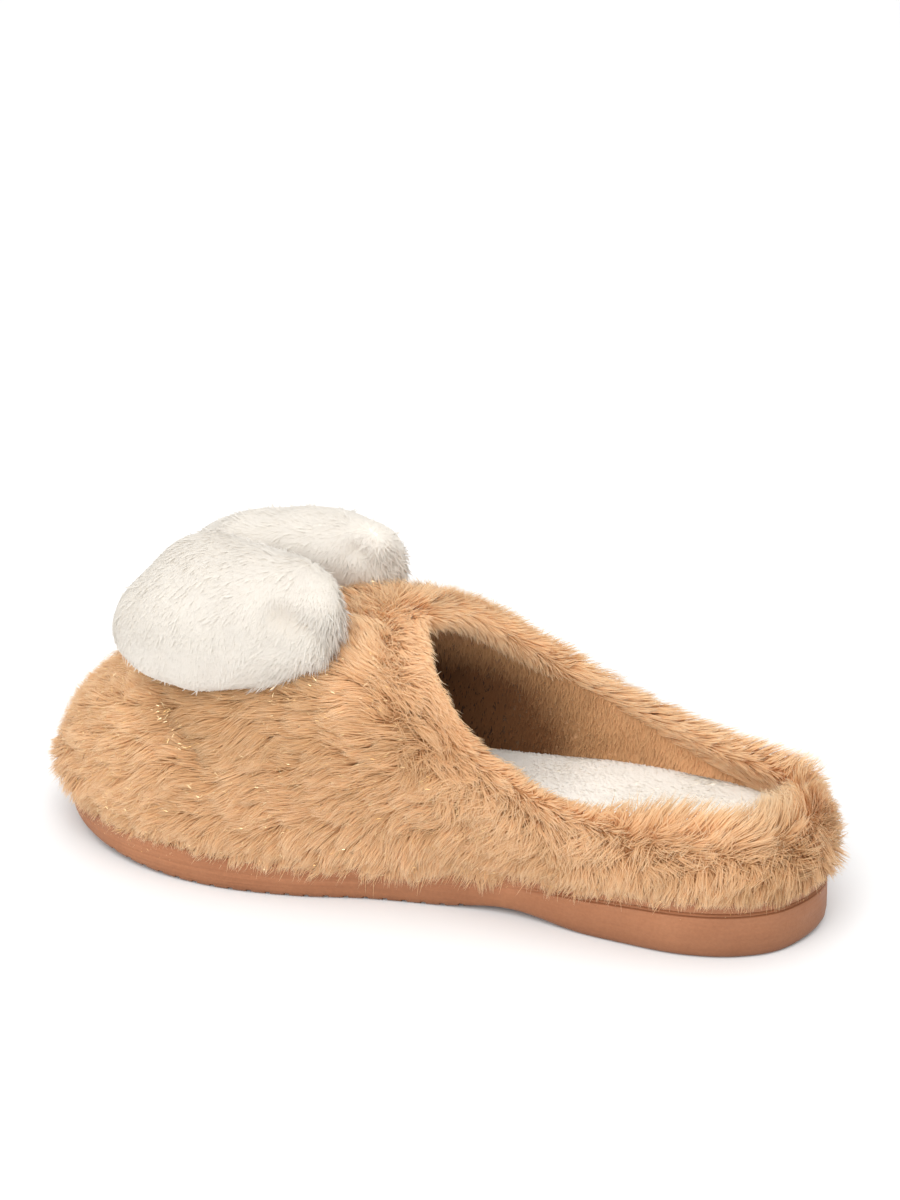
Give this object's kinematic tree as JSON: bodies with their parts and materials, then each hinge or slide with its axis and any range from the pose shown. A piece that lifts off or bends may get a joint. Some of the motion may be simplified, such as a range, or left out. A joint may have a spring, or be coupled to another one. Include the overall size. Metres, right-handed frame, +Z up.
{
  "type": "clog slipper",
  "caption": "Slip-on clog slipper of tan faux fur with cream plush ears on the vamp, a low back, a plush footbed and a moulded foam rubber sole.",
  "frame": {"origin": "on the floor under the middle of the shoe's bounding box", "axes": "+Z up, the toe points to -Y, the medial (inner) side is +X"},
  "size_m": [0.0934, 0.263, 0.1134],
  "materials": {
    "outsole": "matte moulded foam rubber, terracotta brown",
    "insole": "cream short plush",
    "upper_fur": "tan long-pile faux fur with fine metallic glints",
    "ear_plush": "cream white dense plush"
  },
  "bodies": {
    "root": {"outsole": "outsole", "insole": "insole", "upper": "upper_fur", "ear_medial": "ear_plush", "ear_lateral": "ear_plush"}
  },
  "joints": []
}
